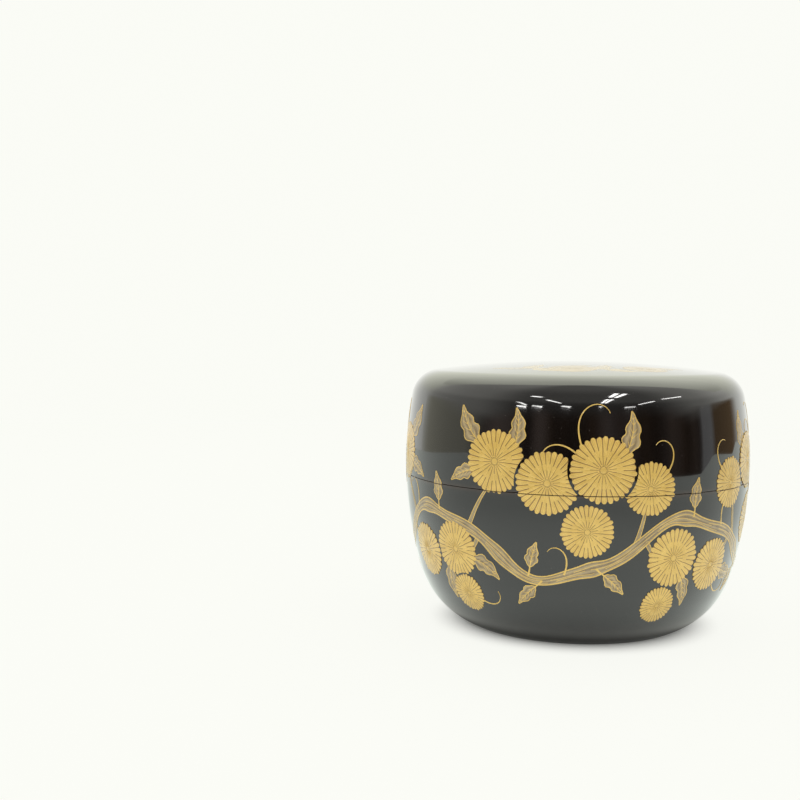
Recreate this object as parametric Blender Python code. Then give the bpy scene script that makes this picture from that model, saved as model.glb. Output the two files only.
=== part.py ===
# Flat tea caddy: two turned wooden shells under black lacquer.
# The lid's skirt drops over a thin rim that stands up from the body's mouth,
# and its edge comes down on the ledge around that rim, flush with the body outside.
# Metres, +Z up. The origin is the middle of the foot, where the caddy stands.

from math import asin, atan2, cos, hypot, pi, sin, sqrt

import bmesh
import bpy

# Outside, shared by body and lid
DIAMETER = 0.0820         # across the girth, the widest ring
SEAM_HEIGHT = 0.0355      # foot to the ledge that carries the lid's edge
LID_HEIGHT = 0.0273       # that ledge to the crown
GIRTH_RISE = 0.0035       # girth above that ledge, so it lies low on the lid
SIDE_ARC = 0.0950         # profile radius of the long side curve
BELLY_HEIGHT = 0.0130     # where the side starts to turn in towards the foot
FOOT_INSET = 0.0150       # foot's edge inside the girth
SHOULDER_ARC = 0.0070     # profile radius of the lid's shoulder
DOME_ARC = 0.2600         # profile radius of the lid's shallow dome

# Lid and rim, where they fit
LID_WALL = 0.0019         # lid's skirt at its edge
RIM_WALL = 0.0014         # standing rim
RIM_HEIGHT = 0.0090       # rim above the ledge
FIT_CLEARANCE = 0.0003    # between rim and skirt, all round
SEAM_GAP = 0.0003         # between ledge and lid's edge
RIM_ROUND = 0.0006        # both edges of the rim's lip
EDGE_ROUND = 0.0002       # edges that meet at the seam

# Inside and underneath
FLOOR_WALL = 0.0036       # wood between the well's floor and the foot's recess
WELL_CORNER_ARC = 0.0090  # well's floor into its side
LID_TOP_WALL = 0.0025     # wood under the crown
LID_CORNER_ARC = 0.0120   # lid's skirt into its ceiling
FOOT_RING = 0.0030        # width of the ring that stands on the table
FOOT_RECESS = 0.0008      # depth of the turned recess inside the ring

# Facets
TURN_STEPS = 64
LONG_STEPS = 6            # along a long curve of the profile
SHORT_STEPS = 3           # round a small edge
WELD = 0.000001
CREASE_ANGLE = 0.6        # radians: sharper edges stay crisp

# Sizes that follow from the ones above
GIRTH_RADIUS = DIAMETER / 2
GIRTH_HEIGHT = SEAM_HEIGHT + GIRTH_RISE
BODY_WALL = LID_WALL + FIT_CLEARANCE + RIM_WALL
FOOT_RADIUS = GIRTH_RADIUS - FOOT_INSET
SIDE_CENTRE = (GIRTH_RADIUS - SIDE_ARC, GIRTH_HEIGHT)
DOME_CENTRE = (0, SEAM_HEIGHT + LID_HEIGHT - DOME_ARC)


def away(point, target):
    # Direction from one profile point to another, as an angle
    return atan2(target[1] - point[1], target[0] - point[0])


def on_circle(centre, radius, angle):
    return (centre[0] + radius * cos(angle), centre[1] + radius * sin(angle))


def arc(centre, radius, start, end, steps):
    # Profile points along an arc, both ends included
    return [on_circle(centre, radius, start + (end - start) * step / steps) for step in range(steps + 1)]


def radius_at(centre, radius, height):
    # Distance from the turning axis of an upright arc at one height
    return centre[0] + sqrt(radius ** 2 - (height - centre[1]) ** 2)


def crossing(first, first_radius, second, second_radius):
    # The upper of the two points where two circles cross
    apart = hypot(second[0] - first[0], second[1] - first[1])
    along = (first_radius ** 2 - second_radius ** 2 + apart ** 2) / (2 * apart)
    aside = sqrt(first_radius ** 2 - along ** 2)
    turn = away(first, second)
    middle = on_circle(first, along, turn)
    both = [on_circle(middle, aside, turn + side * pi / 2) for side in (1, -1)]
    return max(both, key=lambda point: point[1])


def rounded(corner, radius, start, end, inward):
    # A small quarter round that takes the place of a square corner.
    # inward holds the signs that lead from the corner to the round's centre.
    centre = (corner[0] + inward[0] * radius, corner[1] + inward[1] * radius)
    return arc(centre, radius, start, end, SHORT_STEPS)


def chain(*stretches):
    # One profile out of several stretches, with shared end points kept once
    points = []
    for stretch in stretches:
        for point in stretch:
            if not points or hypot(point[0] - points[-1][0], point[1] - points[-1][1]) > WELD:
                points.append(point)
    return points


def belly_circle():
    # The circle that leaves the side curve at BELLY_HEIGHT without a kink and lands on the foot's edge
    leave = asin((BELLY_HEIGHT - GIRTH_HEIGHT) / SIDE_ARC)
    start = on_circle(SIDE_CENTRE, SIDE_ARC, leave)
    reach = (start[0] - FOOT_RADIUS, start[1])
    radius = (reach[0] ** 2 + reach[1] ** 2) / (2 * (reach[0] * cos(leave) + reach[1] * sin(leave)))
    return on_circle(start, radius, leave + pi), radius, leave


def rim_radii():
    # Inner and outer radius of the standing rim: its bore runs on from the well's wall
    inner = radius_at(SIDE_CENTRE, SIDE_ARC - BODY_WALL, SEAM_HEIGHT)
    return inner, inner + RIM_WALL


def well_profile():
    # Up the inside of the body, from the middle of its floor to the seam's height.
    # The wall keeps one thickness behind the belly and the side.
    belly, belly_radius, leave = belly_circle()
    floor = FOOT_RECESS + FLOOR_WALL
    inner_radius = belly_radius - BODY_WALL
    corner_height = floor + WELL_CORNER_ARC
    corner = (radius_at(belly, inner_radius - WELL_CORNER_ARC, corner_height), corner_height)
    touch = away(belly, corner)
    mouth = asin((SEAM_HEIGHT - GIRTH_HEIGHT) / (SIDE_ARC - BODY_WALL))
    return chain(
        [(0, floor)],
        arc(corner, WELL_CORNER_ARC, -pi / 2, touch, LONG_STEPS),
        arc(belly, inner_radius, touch, leave, LONG_STEPS),
        arc(SIDE_CENTRE, SIDE_ARC - BODY_WALL, leave, mouth, LONG_STEPS))


def rim_profile():
    # Over the rim's rounded lip, down its outside and out along the ledge
    inner, outer = rim_radii()
    top = SEAM_HEIGHT + RIM_HEIGHT
    edge = radius_at(SIDE_CENTRE, SIDE_ARC, SEAM_HEIGHT)
    return chain(
        rounded((inner, top), RIM_ROUND, pi, pi / 2, (1, -1)),
        rounded((outer, top), RIM_ROUND, pi / 2, 0, (-1, -1)),
        [(outer, SEAM_HEIGHT)],
        rounded((edge, SEAM_HEIGHT), EDGE_ROUND, pi / 2, 0, (-1, -1)))


def belly_profile():
    # Down the outside of the body from under the seam to the foot's edge
    belly, belly_radius, leave = belly_circle()
    under_seam = asin((SEAM_HEIGHT - EDGE_ROUND - GIRTH_HEIGHT) / SIDE_ARC)
    return chain(
        arc(SIDE_CENTRE, SIDE_ARC, under_seam, leave, LONG_STEPS),
        arc(belly, belly_radius, leave, away(belly, (FOOT_RADIUS, 0)), LONG_STEPS))


def foot_profile():
    # Across the standing ring and up into the shallow recess, to the axis
    ring = FOOT_RADIUS - FOOT_RING
    return chain(
        [(ring, 0)],
        rounded((ring, FOOT_RECESS), FOOT_RECESS, 0, pi / 2, (-1, -1)),
        [(0, FOOT_RECESS)])


def lid_outside():
    # From the crown out over the dome, round the shoulder and down to the lid's edge
    shoulder = crossing(SIDE_CENTRE, SIDE_ARC - SHOULDER_ARC, DOME_CENTRE, DOME_ARC - SHOULDER_ARC)
    dome_end = away(DOME_CENTRE, shoulder)
    side_end = away(SIDE_CENTRE, shoulder)
    bottom = SEAM_HEIGHT + SEAM_GAP
    over_seam = asin((bottom + EDGE_ROUND - GIRTH_HEIGHT) / SIDE_ARC)
    edge = radius_at(SIDE_CENTRE, SIDE_ARC, bottom)
    return chain(
        arc(DOME_CENTRE, DOME_ARC, pi / 2, dome_end, LONG_STEPS),
        arc(shoulder, SHOULDER_ARC, dome_end, side_end, LONG_STEPS),
        arc(SIDE_CENTRE, SIDE_ARC, side_end, over_seam, LONG_STEPS),
        rounded((edge, bottom), EDGE_ROUND, 0, -pi / 2, (-1, 1)))


def lid_corner(skirt, ceiling_arc):
    # The arc that joins skirt and ceiling. Its skirt end stays above the rim, which limits it in a low lid.
    over_rim = SEAM_HEIGHT + RIM_HEIGHT + FIT_CLEARANCE - DOME_CENTRE[1]
    room = (ceiling_arc ** 2 - skirt ** 2 - over_rim ** 2) / (2 * (ceiling_arc - skirt))
    radius = min(LID_CORNER_ARC, room)
    rise = sqrt((ceiling_arc - radius) ** 2 - (skirt - radius) ** 2)
    return (skirt - radius, DOME_CENTRE[1] + rise), radius


def lid_inside():
    # In along the lid's edge, up the skirt, round the corner and in under the dome
    skirt = rim_radii()[1] + FIT_CLEARANCE
    ceiling_arc = DOME_ARC - LID_TOP_WALL
    corner, corner_arc = lid_corner(skirt, ceiling_arc)
    turn = away(DOME_CENTRE, corner)
    return chain(
        rounded((skirt, SEAM_HEIGHT + SEAM_GAP), EDGE_ROUND, -pi / 2, -pi, (1, 1)),
        arc(corner, corner_arc, 0, turn, LONG_STEPS),
        arc(DOME_CENTRE, ceiling_arc, turn, pi / 2, LONG_STEPS))


def lacquer(name, colour, roughness):
    material = bpy.data.materials.new(name)
    material.use_nodes = True
    shader = material.node_tree.nodes["Principled BSDF"]
    shader.inputs["Base Color"].default_value = (*colour, 1)
    shader.inputs["Roughness"].default_value = roughness
    shader.inputs["Metallic"].default_value = 0
    shader.inputs["Coat Weight"].default_value = 1
    return material


def turned(name, profile, height, material):
    # One closed solid: the profile, from axis to axis, spun about Z. Its origin lies on the axis at height.
    bm = bmesh.new()
    ring = [bm.verts.new((radius, 0, level - height)) for radius, level in profile]
    edges = [bm.edges.new(pair) for pair in zip(ring, ring[1:])]
    bmesh.ops.spin(bm, geom=ring + edges, cent=(0, 0, 0), axis=(0, 0, 1), angle=2 * pi, steps=TURN_STEPS)
    bmesh.ops.remove_doubles(bm, verts=bm.verts[:], dist=WELD)
    bmesh.ops.recalc_face_normals(bm, faces=bm.faces[:])
    mesh = bpy.data.meshes.new(name)
    bm.to_mesh(mesh)
    bm.free()
    mesh.shade_smooth()
    mesh.set_sharp_from_angle(angle=CREASE_ANGLE)
    mesh.materials.append(material)
    piece = bpy.data.objects.new(name, mesh)
    piece.location = (0, 0, height)
    bpy.context.scene.collection.objects.link(piece)
    return piece


def main():
    for leftover in list(bpy.data.objects):
        bpy.data.objects.remove(leftover, do_unlink=True)
    body = chain(well_profile(), rim_profile(), belly_profile(), foot_profile())
    lid = chain(lid_outside(), lid_inside())
    turned("body", body, 0, lacquer("body lacquer", (0.006, 0.005, 0.0045), 0.10))
    turned("lid", lid, SEAM_HEIGHT + SEAM_GAP, lacquer("lid lacquer", (0.007, 0.006, 0.005), 0.08))


main()
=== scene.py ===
import random
from math import acos, asin, atan2, ceil, cos, dist, exp, hypot, pi, radians, sin, sqrt, tau

import bmesh
import bpy
from mathutils import Matrix, Vector


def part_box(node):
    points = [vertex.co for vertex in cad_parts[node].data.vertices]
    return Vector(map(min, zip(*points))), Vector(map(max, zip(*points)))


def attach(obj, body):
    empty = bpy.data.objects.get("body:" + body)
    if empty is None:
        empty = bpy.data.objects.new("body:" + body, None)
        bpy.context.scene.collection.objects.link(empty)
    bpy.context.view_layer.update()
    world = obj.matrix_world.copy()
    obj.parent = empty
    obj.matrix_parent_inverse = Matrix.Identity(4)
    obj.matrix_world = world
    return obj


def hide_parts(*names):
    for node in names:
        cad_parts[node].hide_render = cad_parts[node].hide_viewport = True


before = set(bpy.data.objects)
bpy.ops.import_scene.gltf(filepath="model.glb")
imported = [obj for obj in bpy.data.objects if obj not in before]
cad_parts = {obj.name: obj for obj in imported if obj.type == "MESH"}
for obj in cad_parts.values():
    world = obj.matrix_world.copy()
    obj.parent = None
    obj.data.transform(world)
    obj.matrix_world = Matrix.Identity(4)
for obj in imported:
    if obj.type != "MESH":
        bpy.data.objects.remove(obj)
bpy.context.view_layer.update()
print("frame loaded:", ", ".join(sorted(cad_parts)))

mm = 0.001
weld = 0.0005 * mm   # points closer than this are one point
quarter = pi / 2


def blend(first, second, share):
    return first + (second - first) * share


# Node helpers, for geometry and for materials
class Value:
    # what comes out of a node; reckoning with it adds Math nodes to its tree
    def __init__(self, socket):
        self.socket = socket
        self.tree = socket.id_data

    def output(self, name):
        # another output of the same node
        return Value(self.socket.node.outputs[name])


def plug(socket, value):
    # value: a plain one, or what comes out of a node
    if isinstance(value, Value):
        value.tree.links.new(value.socket, socket)
    elif socket.type == "RGBA":
        socket.default_value = (*value, 1)
    else:
        socket.default_value = value


def node(kind, *inputs, output=0, **settings):
    # a function that adds such a node and plugs values into its inputs, given by name or number.
    # One value at least comes out of a node and so tells the tree, if need be as one more than the inputs.
    def add(*values):
        tree = next(value.tree for value in values if isinstance(value, Value))
        added = tree.nodes.new(kind)
        for name, setting in settings.items():
            setattr(added, name, setting)
        for name, value in zip(inputs, values):
            plug(added.inputs[name], value)
        return Value(added.outputs[output])
    return add


def calc(operation, *values):
    return node("ShaderNodeMath", 0, 1, operation=operation)(*values)


for word, operation in (("add", "ADD"), ("sub", "SUBTRACT"), ("mul", "MULTIPLY"), ("truediv", "DIVIDE")):
    setattr(Value, f"__{word}__", lambda first, second, kind=operation: calc(kind, first, second))
    setattr(Value, f"__r{word}__", lambda second, first, kind=operation: calc(kind, first, second))

position = node("GeometryNodeInputPosition")
readValue = node("GeometryNodeInputNamedAttribute", "Name", output="Attribute", data_type="FLOAT")
storeValue = node("GeometryNodeStoreNamedAttribute", "Geometry", "Name", "Value",
                  data_type="FLOAT", domain="POINT")
moveTo = node("GeometryNodeSetPosition", "Geometry", "Position")
moveBy = node("GeometryNodeSetPosition", "Geometry", "Offset")
choose = node("GeometryNodeSwitch", 0, 1, 2, input_type="FLOAT")
toCurve = node("GeometryNodeMeshToCurve", 0)
upright = node("GeometryNodeSetCurveNormal", 0, mode="Z_UP")
sweep = node("GeometryNodeCurveToMesh", "Curve", "Profile Curve", "Scale")
grid = node("GeometryNodeMeshGrid", "Size X", "Size Y", "Vertices X", "Vertices Y")
instances = node("GeometryNodeInstanceOnPoints", "Points", "Instance", "Rotation", "Scale")
realize = node("GeometryNodeRealizeInstances", 0)
joinXyz = node("ShaderNodeCombineXYZ", 0, 1, 2)
noise = node("ShaderNodeTexNoise", "Vector", "Scale", "Detail", "W", noise_dimensions="4D")
mixColour = node("ShaderNodeMix", 0, 6, 7, output=2, data_type="RGBA")
mixShader = node("ShaderNodeMixShader", 0, 1, 2)
bump = node("ShaderNodeBump", "Height", "Distance", "Strength", "Normal")
surfacePlace = node("ShaderNodeTexCoord", output="Object")
emission = node("ShaderNodeEmission", "Color", "Strength")


def splitXyz(vector):
    x = node("ShaderNodeSeparateXYZ", 0)(vector)
    return x, x.output("Y"), x.output("Z")


def stretch(factor, low, high, start=0.0, end=1.0, kind="LINEAR"):
    # low up to start, high from end on
    return node("ShaderNodeMapRange", 0, 1, 2, 3, 4, interpolation_type=kind)(factor, start, end, low, high)


def surfaceValue(near, name, output="Fac"):
    return node("ShaderNodeAttribute", output=output, attribute_name=name)(near)


def spread(points, shape, turn, *scale):
    # shape on every point, turned about Z
    turned = node("FunctionNodeEulerToRotation", 0)(joinXyz(0.0, 0.0, turn))
    return instances(points, shape, turned, joinXyz(*scale))


def shapeCurve(factor, points):
    # a curve drawn through (0 to 1, value) points
    result = node("ShaderNodeFloatCurve", "Value")(factor)
    mapping = result.socket.node.mapping
    curve = mapping.curves[0].points
    for x, y in points[1:-1]:
        curve.new(x, y)
    curve[0].location = points[0]
    curve[len(points) - 1].location = points[-1]
    mapping.update()
    return result


def newTree(name, **inputs):
    # inputs: name -> socket type; gives back the geometry and the values that come in
    tree = bpy.data.node_groups.new(name, "GeometryNodeTree")
    tree.interface.new_socket(name="Geometry", in_out="OUTPUT", socket_type="NodeSocketGeometry")
    for label, kind in {"Geometry": "Geometry", **inputs, "Material": "Material"}.items():
        tree.interface.new_socket(name=label, in_out="INPUT", socket_type="NodeSocket" + kind)
    return [Value(socket) for socket in tree.nodes.new("NodeGroupInput").outputs.values()[:-2]]


def endTree(geometry):
    tree = geometry.tree
    material = Value(tree.nodes["Group Input"].outputs["Material"])
    painted = node("GeometryNodeSetMaterial", "Geometry", "Material")(realize(geometry), material)
    plug(tree.nodes.new("NodeGroupOutput").inputs[0], painted)
    return tree


def addObject(name, mesh):
    mesh.name = name
    made = bpy.data.objects.new(name, mesh)
    bpy.context.scene.collection.objects.link(made)
    return made


def drop(made):
    bpy.data.objects.remove(made, do_unlink=True)


def finishedMesh(made):
    # its mesh as its modifiers leave it
    graph = bpy.context.evaluated_depsgraph_get()
    return bpy.data.meshes.new_from_object(made.evaluated_get(graph))


def runTree(name, source, tree, **values):
    # what the tree makes of source, as a plain mesh object; source is used up
    modifier = source.modifiers.new(tree.name, "NODES")
    modifier.node_group = tree
    for item in tree.interface.items_tree:
        if item.in_out == "INPUT" and item.name in values:
            modifier[item.identifier] = values[item.name]
    bpy.context.view_layer.update()
    mesh = finishedMesh(source)
    drop(source)
    return addObject(name, mesh)


def strandMesh(strands, **values):
    # strands: lists of points, each joined up in a line; values: attribute name -> one number per point
    mesh = bpy.data.meshes.new("strands")
    edges = []
    points = []
    for strand in strands:
        edges += [(step - 1, step) for step in range(len(points) + 1, len(points) + len(strand))]
        points += strand
    mesh.from_pydata(points, edges, [])
    for key, numbers in values.items():
        mesh.attributes.new(key, "FLOAT", "POINT").data.foreach_set("value", numbers)
    return addObject("strands", mesh)


def smoothFaces(piece, crease):
    piece.data.shade_smooth()
    piece.data.set_sharp_from_angle(angle=crease)


def newMaterial(name):
    material = bpy.data.materials.new(name)
    material.use_nodes = True
    return material, Value(material.node_tree.nodes["Principled BSDF"].outputs[0])


def setShader(shader, **sockets):
    # socket names in words joined by _ ; constants go straight onto the shader
    for key, value in sockets.items():
        plug(shader.socket.node.inputs[key.replace("_", " ")], value)


def setSurface(material, shading):
    plug(material.node_tree.nodes["Material Output"].inputs["Surface"], shading)


# Finishes

lacquerFinish = dict(
    black=(0.0040, 0.0032, 0.0030), cloudScale=0.06 / mm, cloudRange=(0.8, 1.25),
    rubbed=(0.050, 0.026, 0.014), rubScale=0.35 / mm, rubRange=(0.25, 1.1), rubRoughness=0.25,
    speck=(0.10, 0.09, 0.08), speckSize=1.6 * mm, speckReach=0.055, speckShare=0.5,
    roughness=(0.045, 0.085), coatRoughness=0.02, swellSize=16 * mm, swellDepth=0.012 * mm,
    polishSize=0.30 * mm, polishDepth=0.0002 * mm, refraction=1.5,
)


def makeLacquer():
    # polished black lacquer: a clear top coat, faint swell from the hand, fine polish, dust, worn edges
    finish = lacquerFinish
    material, shader = newMaterial("black lacquer")
    place = surfacePlace(shader)
    patchy = noise(place, finish["rubScale"], 3.0, 1.0)
    rubbing = surfaceValue(shader, "worn") * stretch(patchy, *finish["rubRange"])
    deep, pale = [[level * share for level in finish["black"]] for share in finish["cloudRange"]]
    coloured = mixColour(noise(place, finish["cloudScale"], 4.0, 2.0), deep, pale)
    coloured = mixColour(rubbing, coloured, finish["rubbed"])
    cells = node("ShaderNodeTexVoronoi", "Vector", "Scale", output="Distance")(place, 1 / finish["speckSize"])
    speck = calc("LESS_THAN", cells, finish["speckReach"])
    coloured = mixColour(speck * finish["speckShare"], coloured, finish["speck"])
    polish = noise(place, 1 / finish["polishSize"], 4.0, 3.0)
    swell = noise(place, 1 / finish["swellSize"], 1.0, 4.0)
    shape = bump(polish, finish["polishDepth"], 1.0, bump(swell, finish["swellDepth"], 1.0))
    roughness = stretch(polish, *finish["roughness"]) + rubbing * finish["rubRoughness"]
    setShader(shader, Base_Color=coloured, Roughness=roughness, Metallic=0.0, IOR=finish["refraction"],
              Normal=shape, Coat_Weight=1.0, Coat_Roughness=finish["coatRoughness"],
              Coat_IOR=finish["refraction"], Coat_Normal=shape)
    return material


goldFinishes = {
    "bright gold": dict(pale=(0.88, 0.62, 0.170), deep=(0.60, 0.37, 0.068), metal=0.45, rough=(0.34, 0.58)),
    "deep gold": dict(pale=(0.34, 0.19, 0.055), deep=(0.17, 0.085, 0.025), metal=0.35, rough=(0.42, 0.66)),
    "sprinkled gold": dict(pale=(0.50, 0.38, 0.20), deep=(0.19, 0.135, 0.07), metal=0.40, rough=(0.40, 0.68)),
    # painted shade: a darker copy of the bright gold for the lid's top, which lies under the bright card
    # above
    "dimmed top gold": dict(pale=(0.44, 0.33, 0.155), deep=(0.27, 0.185, 0.075), metal=0.40, rough=(0.36, 0.60)),
}
powder = dict(
    grainSize=0.10 * mm, grainDepth=0.010 * mm, grainStrength=0.7, grainShare=0.75,
    driftSize=2.2 * mm, driftShare=0.45, streaks=3.0, streakShare=0.13,
    toneRange=(0.38, 0.78), coat=1.0, coatRoughness=0.13,
)


def makeGold(name):
    # gold powder on lacquer: fine grain, slow drift of tone, strokes that follow each line or petal
    finish = goldFinishes[name]
    material, shader = newMaterial(name)
    place = surfacePlace(shader)
    grain = noise(place, 1 / powder["grainSize"], 3.0, 5.0)
    drift = noise(place, 1 / powder["driftSize"], 3.0, 6.0)
    streak = calc("SINE", surfaceValue(shader, "across") * (powder["streaks"] * pi))
    tone = grain * powder["grainShare"] + drift * powder["driftShare"] + streak * powder["streakShare"]
    paleness = stretch(tone, 0.0, 1.0, *powder["toneRange"])
    setShader(shader, Base_Color=mixColour(paleness, finish["deep"], finish["pale"]),
              Roughness=stretch(grain, *finish["rough"]), Metallic=finish["metal"],
              Normal=bump(grain, powder["grainDepth"], powder["grainStrength"]),
              Coat_Weight=powder["coat"], Coat_Roughness=powder["coatRoughness"])
    return material


lacquer = makeLacquer()
brightGold, deepGold, sprinkledGold, dimmedTopGold = [makeGold(name) for name in goldFinishes]
print("finishes made")


# Outline of the caddy. The frame gives the main sizes, and the rest are those of the turned solids.

caddy = dict(
    girthRise=3.2 * mm, lidDrop=0.09 * mm, ledgeDrop=0.21 * mm, sideArc=95 * mm,
    bellyHeight=13 * mm, footInset=15 * mm, shoulderArc=7 * mm, domeArc=260 * mm,
    lidWall=1.9 * mm, rimWall=1.4 * mm, fitClearance=0.3 * mm, rimRound=0.6 * mm,
    edgeRound=0.12 * mm, floorWall=3.6 * mm, wellCornerArc=9 * mm, lidTopWall=2.5 * mm,
    lidCornerArc=12 * mm, footRing=3 * mm, footRecess=0.8 * mm, turnSteps=256,
    facet=0.7 * mm, wornReach=0.35 * mm, crease=0.6,
)
lidLow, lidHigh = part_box("lid")
girthRadius = lidHigh.x
girthHeight = lidLow.z + caddy["girthRise"]
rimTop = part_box("body")[1].z
lidEdge = lidLow.z - caddy["lidDrop"]
ledge = lidLow.z - caddy["ledgeDrop"]
sideArc = caddy["sideArc"]
shoulderArc = caddy["shoulderArc"]
domeArc = caddy["domeArc"]
bodyWall = caddy["lidWall"] + caddy["fitClearance"] + caddy["rimWall"]
footRadius = girthRadius - caddy["footInset"]
sideCentre = (girthRadius - sideArc, girthHeight)
domeCentre = (0, lidHigh.z - domeArc)


def away(start, end):
    return atan2(end[1] - start[1], end[0] - start[0])


def onCircle(centre, radius, angle):
    return (centre[0] + radius * cos(angle), centre[1] + radius * sin(angle))


def arcPoints(centre, radius, start, end):
    steps = max(6, ceil(abs(end - start) * radius / caddy["facet"]))
    return [onCircle(centre, radius, blend(start, end, step / steps)) for step in range(steps + 1)]


def rounded(corner, radius, start, end):
    # the quarter round that takes the place of a square corner
    return arcPoints(onCircle(onCircle(corner, -radius, start), -radius, end), radius, start, end)


def radiusAt(centre, radius, height):
    return centre[0] + sqrt(radius ** 2 - (height - centre[1]) ** 2)


def onSide(height, inset=0.0):
    # a point of the side curve
    return (radiusAt(sideCentre, sideArc - inset, height), height)


def sideAngle(height, inset=0.0):
    return asin((height - girthHeight) / (sideArc - inset))


def sidePoints(start, end, inset=0.0):
    return arcPoints(sideCentre, sideArc - inset, start, end)


def chain(*stretches):
    points = []
    for point in [point for stretch in stretches for point in stretch]:
        if not points or dist(point, points[-1]) > weld:
            points.append(point)
    return points


# the belly leaves the side curve without a kink and lands on the foot's edge
bellyLeave = sideAngle(caddy["bellyHeight"])
bellyStart = onCircle(sideCentre, sideArc, bellyLeave)
across = bellyStart[0] - footRadius
up = bellyStart[1]
bellyRadius = (across ** 2 + up ** 2) / (2 * (across * cos(bellyLeave) + up * sin(bellyLeave)))
belly = onCircle(bellyStart, bellyRadius, bellyLeave + pi)
footEnd = away(belly, (footRadius, 0))

# the shoulder touches the side curve and the dome from inside
first = sideArc - shoulderArc
second = domeArc - shoulderArc
apart = dist(sideCentre, domeCentre)
along = (first ** 2 - second ** 2 + apart ** 2) / (2 * apart)
turn = away(sideCentre, domeCentre)
shoulder = onCircle(onCircle(sideCentre, along, turn), sqrt(first ** 2 - along ** 2), turn + quarter)
sideEnd = away(sideCentre, shoulder)
domeEnd = away(domeCentre, shoulder)
rimInner = onSide(ledge, bodyWall)[0]
rimOuter = rimInner + caddy["rimWall"]

# the body's outline from axis to axis: well, rim, ledge, outside, foot ring and recess
recess = caddy["footRecess"]
floor = recess + caddy["floorWall"]
corner = caddy["wellCornerArc"]
inner = bellyRadius - bodyWall
cornerCentre = (radiusAt(belly, inner - corner, floor + corner), floor + corner)
touch = away(belly, cornerCentre)
ring = footRadius - caddy["footRing"]
rimRound = caddy["rimRound"]
edgeRound = caddy["edgeRound"]
bodyOutline = chain(
    [(0, floor)],
    arcPoints(cornerCentre, corner, -quarter, touch),
    arcPoints(belly, inner, touch, bellyLeave),
    sidePoints(bellyLeave, sideAngle(ledge, bodyWall), bodyWall),
    rounded((rimInner, rimTop), rimRound, pi, quarter),
    rounded((rimOuter, rimTop), rimRound, quarter, 0),
    [(rimOuter, ledge)],
    rounded(onSide(ledge), edgeRound, quarter, 0),
    sidePoints(sideAngle(ledge - edgeRound), bellyLeave),
    arcPoints(belly, bellyRadius, bellyLeave, footEnd),
    [(ring, 0)],
    rounded((ring, recess), recess, 0, quarter),
    [(0, recess)])

# the lid's: dome, shoulder, side, edge, skirt and ceiling
skirt = rimOuter + caddy["fitClearance"]
ceiling = domeArc - caddy["lidTopWall"]
corner = caddy["lidCornerArc"]
rise = sqrt((ceiling - corner) ** 2 - (skirt - corner) ** 2)
cornerCentre = (skirt - corner, domeCentre[1] + rise)
turn = away(domeCentre, cornerCentre)
lidOutline = chain(
    arcPoints(domeCentre, domeArc, quarter, domeEnd),
    arcPoints(shoulder, shoulderArc, domeEnd, sideEnd),
    sidePoints(sideEnd, sideAngle(lidEdge + edgeRound)),
    rounded(onSide(lidEdge), edgeRound, 0, -quarter),
    rounded((skirt, lidEdge), edgeRound, -quarter, -pi),
    arcPoints(cornerCentre, corner, 0, turn),
    arcPoints(domeCentre, ceiling, turn, quarter))


# Body and lid: their outlines turned about the axis
outline, radius, steps, reach = newTree("turned shell", Radius="Float", Steps="Int", Weld="Float")
x, y, z = splitXyz(position(outline))
# the circle carries the outline at its own radius, and its frame points down
outline = moveTo(outline, joinXyz(x - radius, z * -1.0, 0.0))
circle = node("GeometryNodeCurvePrimitiveCircle", "Resolution", "Radius")(steps, radius)
shell = sweep(upright(circle), toCurve(outline), 1.0)
shellTree = endTree(node("GeometryNodeMergeByDistance", 0, "Distance")(shell, reach))
for bodyName, outline, edges in (
        ("body", bodyOutline, [onSide(ledge), (rimInner, rimTop), (rimOuter, rimTop), (footRadius, 0)]),
        ("lid", lidOutline, [(onSide(ledge)[0], lidEdge), (rimOuter, lidEdge)])):
    # the lacquer is worn along the edges
    worn = [exp(-min(dist(point, edge) for edge in edges) / caddy["wornReach"]) for point in outline]
    source = strandMesh([[(radius, 0, height) for radius, height in outline]], worn=worn)
    shell = runTree(bodyName + "_shell", source, shellTree, Radius=girthRadius, Steps=caddy["turnSteps"],
                    Weld=weld, Material=lacquer)
    bm = bmesh.new()
    bm.from_mesh(shell.data)
    bmesh.ops.recalc_face_normals(bm, faces=bm.faces[:])
    bm.to_mesh(shell.data)
    bm.free()
    smoothFaces(shell, caddy["crease"])
    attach(shell, bodyName)
    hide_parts(bodyName)
    print(shell.name, "turned:", len(shell.data.polygons), "faces")


# Decoration. It is laid out flat: x runs round the girth and is 0 at the front, y runs up the outside
# and is 0 at the seam, z is the height above the lacquer. It is then wrapped onto the shells.

outer = chain(
    arcPoints(belly, bellyRadius, footEnd, bellyLeave), sidePoints(bellyLeave, sideEnd),
    arcPoints(shoulder, shoulderArc, sideEnd, domeEnd), arcPoints(domeCentre, domeArc, domeEnd, quarter))
lengths = [0.0]
for first, second in zip(outer, outer[1:]):
    lengths.append(lengths[-1] + dist(first, second))
seamHeight = (ledge + lidEdge) / 2
seamAlong = min(zip(lengths, outer), key=lambda pair: abs(pair[1][1] - seamHeight))[0]
roundLength = tau * girthRadius

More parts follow.
